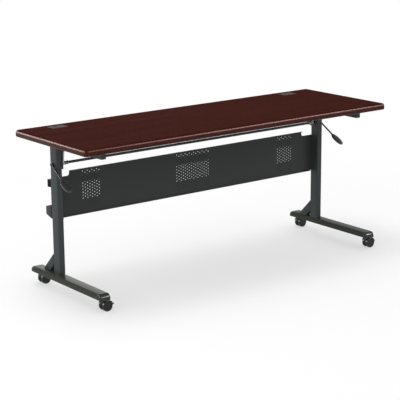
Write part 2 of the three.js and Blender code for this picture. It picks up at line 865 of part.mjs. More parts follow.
function casterHood() {
  const half = hoodWidth / 2;
  const big = 2 * hoodRadius;
  const shell = common(
    barY(hoodRadius, -half, half, casterTrail, wheelRadius, wheelSides),
    block([casterTrail - big, -big, wheelRadius + hoodSkirt], [casterTrail + big, big, wheelRadius + big]),
  );
  const web = common(
    barY(webRadius, -webThickness / 2, webThickness / 2, casterTrail, wheelRadius, wheelSides),
    block([casterTrail - big, -big, wheelRadius - webDrop], [casterTrail + big, big, wheelRadius + big]),
  );
  const neck = barZ(neckRadius, wheelRadius + hoodSkirt, footBottom - neckGap, 0, 0);
  const stem = barZ(stemRadius, footBottom - overlap, footBottom + stemLength, 0, 0);
  const gap = wheelRadius + hoodClearance;
  return cut(join([shell, web, neck, stem]), [
    barY(gap, webThickness / 2, big, casterTrail, wheelRadius, wheelSides),
    barY(gap, -big, -webThickness / 2, casterTrail, wheelRadius, wheelSides),
    barY(axleRadius + seat, -big, big, casterTrail, wheelRadius),
  ]);
}

// A wheel with a rounded tread and a dished outer face. The face looks along +Y.
function casterWheel() {
  const half = wheelWidth / 2;
  const bore = axleRadius + runningFit;
  const profile = [
    [bore, -half],
    [wheelRadius - wheelTyre, -half],
    [wheelRadius, wheelTyre - half],
    [wheelRadius, half - wheelTyre],
    [wheelRadius - wheelTyre, half],
    [wheelRadius - 2 * wheelTyre, half],
    [wheelRadius - 2 * wheelTyre, half - wheelDish],
    [bore, half - wheelDish],
    [bore, -half],
  ].map(([x, y]) => new THREE.Vector2(x, y));
  return new THREE.LatheGeometry(profile, wheelSides);
}

function casterAxle() {
  const half = wheelSpacing / 2 + wheelWidth / 2 - wheelDish;
  return barY(axleRadius, -half, half, casterTrail, wheelRadius);
}

// The pedal swings on the axle line: a tab, and a leaf that follows the hood.
function brakePedal() {
  const half = pedalWidth / 2;
  const inner = hoodRadius + pedalGap;
  const outer = inner + pedalLeaf;
  const start = casterTrail + webRadius;
  const bottom = wheelRadius - pedalDrop;
  const leafTop = wheelRadius + hoodSkirt + pedalLap;
  const tab = block(
    [start, -half, bottom],
    [casterTrail + hoodRadius + pedalLength, half, bottom + pedalHeight],
  );
  const leaf = common(
    barY(outer, -half, half, casterTrail, wheelRadius, wheelSides),
    block([start, -half, bottom], [casterTrail + outer, half, leafTop]),
  );
  const room = barY(inner, -pedalWidth, pedalWidth, casterTrail, wheelRadius, wheelSides);
  return cut(join([tab, leaf]), [room]);
}

function addCaster(end, side, x, y, braked) {
  const corner = `${end}_${side}`;
  const spot = (geometry) => geometry.translate(x, y, 0);
  const outward = wheelSpacing / 2;
  const front = casterWheel().rotateZ(Math.PI).translate(casterTrail, -outward, wheelRadius);
  const rear = casterWheel().translate(casterTrail, outward, wheelRadius);
  add(`caster_hood_${corner}`, spot(casterHood()), 'black');
  add(`caster_axle_${corner}`, spot(casterAxle()), 'steel');
  add(`caster_wheel_a_${corner}`, spot(front), 'rubber');
  add(`caster_wheel_b_${corner}`, spot(rear), 'rubber');
  if (braked) {
    add(`brake_pedal_${corner}`, spot(brakePedal()), 'grip');
  }
}

for (const [side, x] of [['right', footX], ['left', -footX]]) {
  addCaster('front', side, x, -casterY, true);
  addCaster('rear', side, x, casterY, false);
}

export default table;
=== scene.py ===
import math

import bpy
from mathutils import Euler, Matrix, Vector


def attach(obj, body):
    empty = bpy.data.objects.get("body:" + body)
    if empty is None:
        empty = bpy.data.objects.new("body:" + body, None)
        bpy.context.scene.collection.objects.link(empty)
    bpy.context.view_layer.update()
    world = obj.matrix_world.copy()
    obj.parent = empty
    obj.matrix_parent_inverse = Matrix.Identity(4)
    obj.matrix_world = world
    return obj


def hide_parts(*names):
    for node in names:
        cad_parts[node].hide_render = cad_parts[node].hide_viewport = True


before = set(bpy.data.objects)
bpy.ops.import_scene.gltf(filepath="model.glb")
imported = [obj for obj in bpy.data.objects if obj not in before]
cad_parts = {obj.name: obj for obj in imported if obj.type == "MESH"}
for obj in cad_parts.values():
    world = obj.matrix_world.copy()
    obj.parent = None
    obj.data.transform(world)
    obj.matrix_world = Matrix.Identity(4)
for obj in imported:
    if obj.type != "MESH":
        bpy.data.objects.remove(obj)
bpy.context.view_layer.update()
mm = 0.001  # every size below is in millimetres


# camera: front left of the table, a little above its top

view = {"place": (-3924.4, -5050.5, 1939.4), "yaw": 0.6536, "pitch": 0.2463, "roll": -0.0080,
        "focal": 1345.9, "frame": 400, "sensor": 36, "far": 100}

cameraData = bpy.data.cameras.new("photoCamera")
cameraData.sensor_width = view["sensor"]
cameraData.lens = view["sensor"] * view["focal"] / view["frame"]
cameraData.clip_end = view["far"]
camera = bpy.data.objects.new("photoCamera", cameraData)
bpy.context.scene.collection.objects.link(camera)
aim = Euler((math.pi / 2 - view["pitch"], 0, -view["yaw"])).to_matrix()
aim = aim @ Matrix.Rotation(view["roll"], 3, "Z")
camera.matrix_world = Matrix.Translation(Vector(view["place"]) * mm) @ aim.to_4x4()
bpy.context.scene.camera = camera
bpy.context.scene.view_settings.view_transform = "Standard"
print("camera placed")


# small helpers for modelling

def clearSelection():
    if bpy.context.object and bpy.context.object.mode != "OBJECT":
        bpy.ops.object.mode_set(mode="OBJECT")
    bpy.ops.object.select_all(action="DESELECT")


def choose(piece):
    clearSelection()
    piece.select_set(True)
    bpy.context.view_layer.objects.active = piece


def settle(piece):  # place, turn and scale go into the mesh
    choose(piece)
    bpy.ops.object.transform_apply(location=True, rotation=True, scale=True)
    return piece


def newBox(name, low, high):
    clearSelection()
    size = [(b - a) * mm for a, b in zip(low, high)]
    middle = [(a + b) / 2 * mm for a, b in zip(low, high)]
    bpy.ops.mesh.primitive_cube_add(size=1, location=middle, scale=size)
    bpy.context.object.name = name
    return settle(bpy.context.object)


def newBlock(name, part):  # a box from a piece's own dictionary
    return newBox(name, [part[key][0] for key in "xyz"], [part[key][1] for key in "xyz"])


def newRound(name, radius, length, middle, along, sides=48):
    clearSelection()
    turn = {"X": (0, math.pi / 2, 0), "Y": (math.pi / 2, 0, 0), "Z": (0, 0, 0)}[along]
    bpy.ops.mesh.primitive_cylinder_add(vertices=sides, radius=radius * mm, depth=length * mm,
                                        location=[v * mm for v in middle], rotation=turn)
    bpy.context.object.name = name
    return settle(bpy.context.object)


def newRod(name, points, radius, sides=3):  # a bent wire or bar through points, ends closed
    curve = bpy.data.curves.new(name, "CURVE")
    curve.dimensions = "3D"
    curve.bevel_depth = radius * mm
    curve.bevel_resolution = sides
    curve.use_fill_caps = True
    spline = curve.splines.new("POLY")
    spline.points.add(len(points) - 1)
    for spot, place in zip(spline.points, points):
        spot.co = (*[v * mm for v in place], 1)
    rod = bpy.data.objects.new(name, curve)
    bpy.context.scene.collection.objects.link(rod)
    choose(rod)
    bpy.ops.object.convert(target="MESH")
    return bpy.context.object


def pick(piece, kind, rule):  # leaves the piece in edit mode with what fits the rule selected
    choose(piece)
    bpy.ops.object.mode_set(mode="EDIT")
    bpy.ops.mesh.select_mode(type=kind)
    bpy.ops.mesh.select_all(action="DESELECT")
    bpy.ops.object.mode_set(mode="OBJECT")
    mesh = piece.data
    if kind == "FACE":
        for face in mesh.polygons:
            face.select = bool(rule(face.center / mm, face.normal))
    else:
        for edge in mesh.edges:
            a, b = (mesh.vertices[i].co for i in edge.vertices)
            edge.select = bool(rule((a + b) / 2 / mm, (b - a).normalized()))
    bpy.ops.object.mode_set(mode="EDIT")


def roundEdges(piece, radius, steps, rule):
    pick(piece, "EDGE", rule)
    bpy.ops.mesh.bevel(offset=radius * mm, segments=steps, affect="EDGES")
    bpy.ops.object.mode_set(mode="OBJECT")


def cutOff(piece, place, way):  # drops what lies beyond a plane, on the side that the way points to
    pick(piece, "FACE", lambda c, n: True)
    bpy.ops.mesh.bisect(plane_co=Vector(place) * mm, plane_no=way, use_fill=True, clear_outer=True)
    bpy.ops.object.mode_set(mode="OBJECT")


def applyModifier(piece, kind, **settings):
    choose(piece)
    modifier = piece.modifiers.new(kind, kind)
    for key, value in settings.items():
        setattr(modifier, key, value)
    bpy.ops.object.modifier_apply(modifier=modifier.name)


def combine(piece, other, how):  # DIFFERENCE cuts the other piece out, UNION welds it on
    applyModifier(piece, "BOOLEAN", object=other, operation=how, solver="EXACT")
    bpy.data.objects.remove(other, do_unlink=True)


def newTube(name, part, along):  # a rectangular tube with round corners and open ends
    axis = "xyz".index(along)
    tube = newBlock(name, part)
    roundEdges(tube, part["corner"], part["steps"], lambda c, d: abs(d[axis]) > 0.9)
    pick(tube, "FACE", lambda c, n: abs(n[axis]) > 0.999)
    bpy.ops.mesh.delete(type="FACE")
    bpy.ops.object.mode_set(mode="OBJECT")
    applyModifier(tube, "SOLIDIFY", thickness=part["wall"] * mm, offset=-1)
    return tube


def softenEdges(piece, width, steps=2):
    applyModifier(piece, "BEVEL", width=width * mm, segments=steps, limit_method="ANGLE",
                  angle_limit=math.radians(35))


def cleanMesh(piece, reach=0.02):  # joins points that lie on each other, drops faces without area
    choose(piece)
    bpy.ops.object.mode_set(mode="EDIT")
    bpy.ops.mesh.select_all(action="SELECT")
    bpy.ops.mesh.remove_doubles(threshold=reach * mm)
    bpy.ops.mesh.dissolve_degenerate(threshold=reach * mm)
    bpy.ops.object.mode_set(mode="OBJECT")


def copyOf(piece, name, move=(0, 0, 0), mirror=False):  # a copy with its own mesh
    twin = bpy.data.objects.new(name, piece.data.copy())
    bpy.context.scene.collection.objects.link(twin)
    twin.location = [v * mm for v in move]
    if mirror:
        twin.scale.x = -1
    settle(twin)
    if mirror:
        bpy.ops.object.mode_set(mode="EDIT")
        bpy.ops.mesh.select_all(action="SELECT")
        bpy.ops.mesh.flip_normals()
        bpy.ops.object.mode_set(mode="OBJECT")
    return twin


def turnedCopy(piece, name, x):  # a copy turned half round about the upright line at x
    twin = copyOf(piece, name)
    twin.location = (2 * x * mm, 0, 0)
    twin.rotation_euler = (0, 0, math.pi)
    return settle(twin)


def softCopy(node, name, width, steps=2):  # a CAD node's own shape with its edges broken
    piece = bpy.data.objects.new(name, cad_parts[node].data.copy())
    bpy.context.scene.collection.objects.link(piece)
    choose(piece)
    bpy.ops.object.mode_set(mode="EDIT")
    bpy.ops.mesh.select_all(action="SELECT")
    bpy.ops.mesh.remove_doubles(threshold=0.01 * mm)
    bpy.ops.mesh.dissolve_limited(angle_limit=math.radians(1))
    bpy.ops.object.mode_set(mode="OBJECT")
    softenEdges(piece, width, steps)
    return piece


def finishPiece(piece, material, slotName, body, *nodes):
    choose(piece)
    bpy.ops.object.shade_smooth_by_angle(angle=math.radians(40))
    piece.data.materials.clear()
    piece.data.materials.append(material)
    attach(piece, body)
    if nodes:
        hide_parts(*nodes)


def finishPair(piece, material, slotName, body, node):  # the right one, and its mirror image
    name = piece.name
    twin = copyOf(piece, name + "Left", mirror=True)
    piece.name = name + "Right"
    finishPiece(piece, material, slotName, body, node + "_right")
    finishPiece(twin, material, slotName, body, node + "_left")


def paintNode(node, material):
    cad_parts[node].material_slots[0].material = material


# materials: pattern sizes are in millimetres, so a noise has this many cells in a metre over its size

perMetre = 1000


def linear(hexCode):
    parts = [int(hexCode[i:i + 2], 16) / 255 for i in (1, 3, 5)]
    return [*[v / 12.92 if v <= 0.04045 else ((v + 0.055) / 1.055) ** 2.4 for v in parts], 1]


def addNode(tree, kind, values, links=()):
    node = tree.nodes.new("ShaderNode" + kind)
    for key, value in values.items():
        if isinstance(key, str) and hasattr(node, key):
            setattr(node, key, value)
        else:
            node.inputs[key].default_value = value
    for key, source in links:
        tree.links.new(source, node.inputs[key])
    return node


def newMaterial(name, values):
    material = bpy.data.materials.new(name)
    material.use_nodes = True
    tree = material.node_tree
    shader = tree.nodes["Principled BSDF"]
    for key, value in values.items():
        shader.inputs[key].default_value = value
    place = addNode(tree, "TexCoord", {}).outputs["Object"]
    return material, tree, shader, place


def rampOf(tree, source, *stops):
    ramp = addNode(tree, "ValToRGB", {}, [("Fac", source)])
    for index, (spot, colour) in enumerate(stops):
        element = ramp.color_ramp.elements[index] if index < 2 else ramp.color_ramp.elements.new(spot)
        element.position = spot
        element.color = colour
    return ramp.outputs["Color"]


# Mahogany high pressure laminate: a printed figure under a clear satin overlay.
# It is an even red brown with short flecks and faint bands along the grain, and hardly mirrors.
laminate = {"dark": "#2f130e", "middle": "#3c1c17", "light": "#47241e", "specular": 0.0006,
            "fleck": (9, 3.2), "band": (900, 60), "bandShare": 0.35,
            "pore": (16, 1.6), "poreShade": (0.72, 0.68, 0.66, 1), "poreShare": 0.6,
            "rough": (0.56, 0.68), "texture": 1.8, "relief": 0.08, "reliefDepth": 0.4}


def laminateFinish():
    material, tree, shader, place = newMaterial("mahoganyLaminateSatin", {
        "Specular IOR Level": laminate["specular"], "IOR": 1.5})
    patterns = []
    for length, width in (laminate["fleck"], laminate["band"], laminate["pore"]):
        scale = (perMetre / length, perMetre / width, perMetre / width)
        stretch = addNode(tree, "Mapping", {"Scale": scale}, [("Vector", place)])
        noise = addNode(tree, "TexNoise", {"Scale": 1, "Detail": 4, "Roughness": 0.6, "Distortion": 0.4},
                        [("Vector", stretch.outputs["Vector"])])
        patterns.append(noise.outputs["Fac"])
    fleck, band, pore = patterns
    mixed = addNode(tree, "Mix", {"data_type": "FLOAT", 0: laminate["bandShare"]}, [(2, fleck), (3, band)])
    wood = rampOf(tree, mixed.outputs[0], (0.3, linear(laminate["dark"])), (0.7, linear(laminate["light"])),
                  (0.5, linear(laminate["middle"])))
    dots = rampOf(tree, pore, (0.3, laminate["poreShade"]), (0.45, (1, 1, 1, 1)))
    colour = addNode(tree, "Mix", {"data_type": "RGBA", "blend_type": "MULTIPLY", 0: laminate["poreShare"]},
                     [(6, wood), (7, dots)])
    tree.links.new(colour.outputs[2], shader.inputs["Base Color"])
    low, high = laminate["rough"]
    gloss = addNode(tree, "MapRange", {"To Min": low, "To Max": high}, [("Value", fleck)])
    tree.links.new(gloss.outputs["Result"], shader.inputs["Roughness"])
    grit = addNode(tree, "TexNoise", {"Scale": perMetre / laminate["texture"], "Detail": 2},
                   [("Vector", place)])
    bump = addNode(tree, "Bump", {"Strength": laminate["relief"], "Distance": laminate["reliefDepth"] * mm},
                   [("Height", grit.outputs["Fac"])])
    tree.links.new(bump.outputs["Normal"], shader.inputs["Normal"])
    return material


# Coloured moulded or painted surfaces share one build: a base colour with slight mottling,
# a roughness that varies a little, and a fine bump of the given grain size.
def grainedFinish(look):
    material, tree, shader, place = newMaterial(look["name"], {
        "Metallic": look.get("metallic", 0), "IOR": 1.5, "Specular IOR Level": look.get("specular", 0.5)})
    cloud = addNode(tree, "TexNoise", {"Scale": perMetre / look["mottle"], "Detail": 3}, [("Vector", place)])
    colour = rampOf(tree, cloud.outputs["Fac"], (0.3, linear(look["dark"])), (0.7, linear(look["light"])))
    tree.links.new(colour, shader.inputs["Base Color"])
    low, high = look["rough"]
    gloss = addNode(tree, "MapRange", {"To Min": low, "To Max": high}, [("Value", cloud.outputs["Fac"])])
    tree.links.new(gloss.outputs["Result"], shader.inputs["Roughness"])
    grit = addNode(tree, "TexNoise", {"Scale": perMetre / look["grain"], "Detail": 2, "Roughness": 0.55},
                   [("Vector", place)])
    bump = addNode(tree, "Bump", {"Strength": look["relief"], "Distance": 0.5 * mm},
                   [("Height", grit.outputs["Fac"])])
    tree.links.new(bump.outputs["Normal"], shader.inputs["Normal"])
    if "rubbed" in look:  # between these heights the shine fades to the laminate's
        shader.inputs["Specular Tint"].default_value = linear(look["tint"])
        height = addNode(tree, "SeparateXYZ", {}, [(0, place)])
        start, end = look["rubbed"]
        shine = addNode(tree, "MapRange", {"interpolation_type": "SMOOTHSTEP",
                                           "From Min": start * mm, "From Max": end * mm,
                                           "To Min": look["specular"], "To Max": laminate["specular"]},
                        [("Value", height.outputs["Z"])])
        tree.links.new(shine.outputs["Result"], shader.inputs["Specular IOR Level"])
    return material


looks = {
    # vinyl edge, extruded: smooth and shiny, so its round edges catch a bright line
    "edge": {"name": "vinylEdgeExtruded", "dark": "#38140e", "light": "#3e1711", "rough": (0.29, 0.35),
             "mottle": 40, "grain": 6, "relief": 0.01, "specular": 0.1, "tint": "#ffd3c8",
             "rubbed": (744, 746.5)},
    # powder coat, baked: an even colour with a fine orange peel, drawn a little coarser than real
    "charcoal": {"name": "charcoalPowderCoat", "dark": "#3b3f3f", "light": "#3f4343", "rough": (0.34, 0.42),
                 "mottle": 5, "grain": 2.4, "relief": 0.1, "specular": 0.08},
    "footPaint": {"name": "footPowderCoat", "dark": "#363a32", "light": "#3a3e36", "rough": (0.22, 0.28),
                  "mottle": 5, "grain": 2.4, "relief": 0.02, "specular": 0.05},
    "sheet": {"name": "panelPowderCoat", "dark": "#343736", "light": "#383b3a", "rough": (0.4, 0.48),
              "mottle": 5, "grain": 2.0, "relief": 0.12, "specular": 0.08},
    # nylon, moulded: satin with a spark eroded texture
    "black": {"name": "blackNylonMoulded", "dark": "#1e2120", "light": "#242726", "rough": (0.3, 0.4),
              "mottle": 8, "grain": 1.6, "relief": 0.08, "specular": 0.3},
    # polypropylene, moulded in a polished tool: black and glossy. Its base colour is raised to dark grey as a
    # painted reflection of the pale floor, which its low specular level no longer mirrors; the rest is the
    # plastic's own near-black
    "gloss": {"name": "greyPolypropylenePolished", "dark": "#323735", "light": "#373c3a",
              "rough": (0.16, 0.22), "mottle": 8, "grain": 3, "relief": 0.01, "specular": 0.1},
    # nylon, moulded in grey: the same texture, a little duller
    "grip": {"name": "greyNylonMoulded", "dark": "#3a3d3b", "light": "#404341", "rough": (0.4, 0.5),
             "mottle": 8, "grain": 1.4, "relief": 0.12, "specular": 0.15},
    # stoved enamel on a steel rod: black and glossy, with one bright line along it
    "enamel": {"name": "blackStoveEnamel", "dark": "#252828", "light": "#2a2d2d", "rough": (0.14, 0.2),
               "mottle": 15, "grain": 4, "relief": 0.02, "specular": 0.4},
    # ABS, moulded: matt, with a sandy texture
    "grommet": {"name": "greyAbsMoulded", "dark": "#524d4a", "light": "#575250", "rough": (0.6, 0.7),
                "mottle": 10, "grain": 1.4, "relief": 0.06, "specular": 0.004},
    # zinc plated steel: dull metal with cloudy plating
    "steel": {"name": "zincPlatedSteel", "dark": "#8d8f90", "light": "#b1b2b0", "rough": (0.28, 0.42),
              "mottle": 8, "grain": 3, "relief": 0.05, "metallic": 1},
    # rubber, moulded: matt and dark
    "rubber": {"name": "blackRubberMoulded", "dark": "#1a1a1a", "light": "#232323", "rough": (0.7, 0.85),
               "mottle": 10, "grain": 1.5, "relief": 0.15},
    # polyurethane tyre on a nylon wheel
    "wheel": {"name": "polyurethaneWheel", "dark": "#262928", "light": "#2c2f2e", "rough": (0.24, 0.34),
              "mottle": 8, "grain": 1.8, "relief": 0.03, "specular": 0.17},
}
finish = {key: grainedFinish(look) for key, look in looks.items()}
finish["mahogany"] = laminateFinish()
print("materials made")


# top: the laminated board, its moulded edge and the cable grommets

paintNode("tabletop", finish["mahogany"])

top = {"x": (-900, 900), "y": (-300, 300), "z": (718, 750), "corner": 16.5, "upper": 14, "lower": 6,
       "band": 15}
topLow, topHigh = top["z"]
band = newBlock("edgeMoulding", top)
roundEdges(band, top["corner"], 12, lambda c, d: abs(d.z) > 0.9)
roundEdges(band, top["upper"], 10, lambda c, d: abs(d.z) < 0.1 and c.z > topHigh - 0.1)
roundEdges(band, top["lower"], 5, lambda c, d: abs(d.z) < 0.1 and c.z < topLow + 0.1)
pick(band, "FACE", lambda c, n: n.z > 0.999)
bpy.ops.mesh.inset(thickness=(top["band"] - top["upper"]) * mm)
bpy.ops.mesh.delete(type="FACE")
pick(band, "FACE", lambda c, n: n.z < -0.999)
bpy.ops.mesh.inset(thickness=(top["band"] - top["lower"]) * mm)
bpy.ops.mesh.delete(type="FACE")
bpy.ops.mesh.select_mode(type="EDGE")
bpy.ops.mesh.select_non_manifold()
bpy.ops.mesh.bridge_edge_loops()
bpy.ops.mesh.select_all(action="SELECT")
bpy.ops.mesh.normals_make_consistent(inside=False)
bpy.ops.object.mode_set(mode="OBJECT")
finishPiece(band, finish["edge"], "edge", "top", "edge_band")

grommet = {"x": 708, "y": 235, "flange": (86, 60), "corner": 5.5, "low": 748.5, "high": 750, "edge": 1,
           "sleeve": (79.6, 53.6), "sleeveCorner": 2.5, "sleeveTop": 749.5, "bottom": 723,
           "pocket": (74.6, 48.6), "floor": 745.5, "throat": (68.6, 42.6), "inner": 1,
           "cap": (73.8, 47.8), "capLow": 745.7, "capEdge": 0.7, "notch": (20, 10), "past": 5}
g = grommet
below, above = g["bottom"] - g["past"], g["high"] + g["past"]  # how far the cutters reach


def grommetBox(name, size, low, high):
    return newBox(name, (g["x"] - size[0] / 2, g["y"] - size[1] / 2, low),
                  (g["x"] + size[0] / 2, g["y"] + size[1] / 2, high))


def grommetBlock(name, size, corner, low, high):  # the same with round corners
    block = grommetBox(name, size, low, high)
    roundEdges(block, corner, 6, lambda c, d: abs(d.z) > 0.9)
    return block


liner = grommetBlock("grommetLiner", g["flange"], g["corner"], g["low"], g["high"])
roundEdges(liner, g["edge"], 3, lambda c, d: abs(d.z) < 0.1 and c.z > g["high"] - 0.01)
sleeve = grommetBlock("sleeve", g["sleeve"], g["sleeveCorner"], g["bottom"], g["sleeveTop"])
combine(liner, sleeve, "UNION")
pocket = grommetBlock("pocketCutter", g["pocket"], g["inner"], g["floor"], above)
combine(liner, pocket, "DIFFERENCE")
throat = grommetBlock("throatCutter", g["throat"], g["inner"], below, above)
combine(liner, throat, "DIFFERENCE")
finishPair(liner, finish["grommet"], "grommet", "top", "grommet")

cap = grommetBox("grommetLid", g["cap"], g["capLow"], g["high"])
capRear = g["y"] + g["cap"][1] / 2
notchHalf = g["notch"][0] / 2
notch = newBox("notchCutter", (g["x"] - notchHalf, capRear - g["notch"][1], g["capLow"] - g["past"]),
               (g["x"] + notchHalf, capRear + g["past"], above))
combine(cap, notch, "DIFFERENCE")
softenEdges(cap, g["capEdge"], 3)
capLeft = copyOf(cap, "grommetLidLeft", mirror=True)
cap.name = "grommetLidRight"
finishPiece(cap, finish["grommet"], "grommet", "cap_right", "grommet_cap_right")
finishPiece(capLeft, finish["grommet"], "grommet", "cap_left", "grommet_cap_left")
print("top made")


# support arms under the top, with the pins that the pawls catch

arm = softCopy("support_arm_right", "supportArm", 1.2, 3)
finishPair(arm, finish["charcoal"], "charcoal", "top", "support_arm")
for side in ("right", "left"):
    paintNode("catch_pin_" + side, finish["steel"])
print("arms made")


# legs: columns, feet, end caps and braces

column = {"x": (786, 816), "y": (77, 132), "z": (88.2, 708), "corner": 5, "steps": 6, "wall": 2,
          "bore": 9.3, "shaft": (104, 608)}
post = newTube("columnTube", column, "z")
boreLength = 2 * (column["x"][1] - column["x"][0])
bore = newRound("boreCutter", column["bore"], boreLength, (sum(column["x"]) / 2, *column["shaft"]), "X")
combine(post, bore, "DIFFERENCE")
finishPair(post, finish["charcoal"], "charcoal", "frame", "column")

foot = {"x": (786, 842), "y": (-273, 273), "z": (58, 88), "corner": 7, "steps": 7, "wall": 2.5,
        "stem": 6, "stemCut": 20, "casterY": 262}
footMiddle = sum(foot["x"]) / 2
bar = newTube("footTube", foot, "y")
for y in (-foot["casterY"], foot["casterY"]):
    stem = newRound("stemCutter", foot["stem"], foot["stemCut"], (footMiddle, y, foot["z"][0]), "Z", 32)
    combine(bar, stem, "DIFFERENCE")
finishPair(bar, finish["footPaint"], "foot_paint", "frame", "foot")

nose = {"x": foot["x"], "y": (273.2, 298.2), "z": foot["z"], "round": 22, "side": 6.8,
        "plug": 4.5, "plugGap": 2.7, "plugCorner": 4.4, "sunk": 2}
noseStart, noseTip = nose["y"]
toe = newBlock("footEndRear", nose)
roundEdges(toe, nose["round"], 14,
           lambda c, d: abs(d.x) > 0.9 and c.y > noseTip - 0.1 and c.z > nose["z"][1] - 0.1)
roundEdges(toe, nose["side"], 7, lambda c, d: abs(d.x) < 0.1 and c.y > noseStart + 0.1)
gap = nose["plugGap"]
plug = newBox("endPlug", (nose["x"][0] + gap, noseStart - nose["plug"], nose["z"][0] + gap),
              (nose["x"][1] - gap, noseStart + nose["sunk"], nose["z"][1] - gap))
roundEdges(plug, nose["plugCorner"], 5, lambda c, d: abs(d.y) > 0.9)
combine(toe, plug, "UNION")
toeFront = turnedCopy(toe, "footEndFront", footMiddle)
finishPair(toe, finish["gloss"], "black", "frame", "foot_cap_rear")
finishPair(toeFront, finish["gloss"], "black", "frame", "foot_cap_front")

brace = {"x": (786, 816), "y": (132.2, 222.2), "z": (88.2, 178), "throat": ((132.2, 124), (166.2, 88.2)),
         "edge": 1.5}
gusset = newBlock("legBrace", brace)
slope = (0, brace["z"][1] - brace["z"][0], brace["y"][1] - brace["y"][0])
cutOff(gusset, (0, brace["y"][0], brace["z"][1]), slope)
(ya, za), (yb, zb) = brace["throat"]
cutOff(gusset, (0, ya, za), (0, zb - za, ya - yb))
softenEdges(gusset, brace["edge"], 3)
finishPair(gusset, finish["charcoal"], "charcoal", "frame", "brace")
print("legs made")


# modesty panel: one folded sheet with three groups of staggered holes

panel = {"rear": 132, "end": 785.8, "low": 344, "high": 562, "shoulder": 537, "notchX": 717,
         "notchRadius": 12, "notchSteps": 8, "bend": 4, "bendSteps": 5, "hem": 121, "flange": 82, "sheet": 2,
         "hole": 2.2, "holeSides": 14, "pitchX": 13, "pitchZ": 14.5, "firstZ": 547.6, "rows": 13,
         "groups": ((-643.5, 8), (-97.5, 16), (552.5, 8))}
p = panel
flatEnd, flatLow, flatHigh = p["end"] - p["bend"], p["low"] + p["bend"], p["high"] - p["bend"]


def panelOutline():  # the flat part of the sheet, which ends where the bends begin
    radius, corner = p["notchRadius"], []
    for k in range(p["notchSteps"] + 1):
        a = math.pi * (1.5 - k / (2 * p["notchSteps"]))
        corner.append((p["notchX"] + radius * (1 + math.cos(a)), p["shoulder"] + radius * (1 + math.sin(a))))
    half = [(flatEnd, flatLow), (flatEnd, p["shoulder"]), *corner, (p["notchX"], flatHigh)]
    return half + [(-x, z) for x, z in reversed(half)]


outline = [(x * mm, p["rear"] * mm, z * mm) for x, z in panelOutline()]
sheetMesh = bpy.data.meshes.new("modestySheet")
sheetMesh.from_pydata(outline, [(k, (k + 1) % len(outline)) for k in range(len(outline))], [])
sheet = bpy.data.objects.new("modestySheet", sheetMesh)
bpy.context.scene.collection.objects.link(sheet)
rings = []
for firstX, columns in p["groups"]:
    for odd in (0, 1):
        clearSelection()
        spot = (firstX + odd * p["pitchX"], p["rear"], p["firstZ"] - odd * p["pitchZ"] / 2)
        bpy.ops.mesh.primitive_circle_add(vertices=p["holeSides"], radius=p["hole"] * mm,
                                          location=[v * mm for v in spot], rotation=(math.pi / 2, 0, 0))
        ring = settle(bpy.context.object)
        for count, step in ((columns // 2, (2 * p["pitchX"] * mm, 0, 0)),
                            (p["rows"] - odd, (0, 0, -p["pitchZ"] * mm))):
            applyModifier(ring, "ARRAY", count=count, use_relative_offset=False, use_constant_offset=True,
                          constant_offset_displace=step)
        rings.append(ring)
choose(sheet)
for ring in rings:
    ring.select_set(True)
bpy.ops.object.join()
bpy.ops.object.mode_set(mode="EDIT")
bpy.ops.mesh.select_mode(type="EDGE")
bpy.ops.mesh.select_all(action="SELECT")
bpy.ops.mesh.fill(use_beauty=True)
bpy.ops.mesh.select_all(action="SELECT")
bpy.ops.mesh.normals_make_consistent(inside=False)
bpy.ops.object.mode_set(mode="OBJECT")


def foldEdge(rule, out, front):  # bends an edge forward through a quarter circle, then straight
    pick(sheet, "EDGE", rule)
    reach = p["bend"] * mm
    before = Vector((0, 0, 0))
    for k in range(1, p["bendSteps"] + 1):
        a = math.pi / 2 * k / p["bendSteps"]
        place = out * (reach * math.sin(a)) + Vector((0, -1, 0)) * (reach * (1 - math.cos(a)))
        bpy.ops.mesh.extrude_edges_move(TRANSFORM_OT_translate={"value": place - before})
        before = place
    length = p["rear"] - p["bend"] - front
    bpy.ops.mesh.extrude_edges_move(TRANSFORM_OT_translate={"value": (0, -length * mm, 0)})
    bpy.ops.object.mode_set(mode="OBJECT")


for edgeZ, way in ((flatLow, -1), (flatHigh, 1)):
    foldEdge(lambda c, d: abs(c.z - edgeZ) < 0.1 and abs(d.x) > 0.99, Vector((0, 0, way)), p["hem"])
for side in (-1, 1):
    foldEdge(lambda c, d: abs(c.x - side * flatEnd) < 0.1 and abs(d.z) > 0.99 and c.y > p["rear"] - 1,
             Vector((side, 0, 0)), p["flange"])
pick(sheet, "FACE", lambda c, n: True)
bpy.ops.mesh.normals_make_consistent(inside=False)
bpy.ops.object.mode_set(mode="OBJECT")
rearFace = max(sheet.data.polygons, key=lambda f: f.area)
applyModifier(sheet, "SOLIDIFY", thickness=p["sheet"] * mm, offset=-1 if rearFace.normal.y > 0 else 1)
finishPiece(sheet, finish["sheet"], "sheet", "frame", "modesty_panel")
print("panel made")


# rail, trough and their brackets behind the panel

rail = {"x": (-816, 816), "y": (136.4, 161.4), "z": (494, 530), "corner": 3, "steps": 5, "wall": 2}
tube = newTube("rearRail", rail, "x")
finishPiece(tube, finish["charcoal"], "charcoal", "frame", "rear_rail")
trough = softCopy("cable_trough", "cableTrough", 0.8)
finishPiece(trough, finish["sheet"], "sheet", "frame", "cable_trough")
bracket = softCopy("trough_bracket_right", "troughBracket", 1)
finishPair(bracket, finish["charcoal"], "charcoal", "frame", "trough_bracket")
print("rail and trough made")


# pivots, shaft, pawls and springs: the first rows give each node's edge, its steps, finish and body

smallParts = {"pivot_plate": ("pivotPlate", 0.8, 2, "charcoal", "frame"),
              "pivot_pin": ("pivotPin", 0.7, 2, "steel", "frame"),
              "stop_bumper": ("stopBumper", 1.5, 3, "rubber", "frame"),
              "shaft_bush": ("shaftBush", 0.5, 2, "black", "frame"),
              "latch_pawl": ("latchPawl", 0.6, 2, "steel", "release")}
for node, (name, edge, steps, look, body) in smallParts.items():
    finishPair(softCopy(node + "_right", name, edge, steps), finish[look], look, body, node)

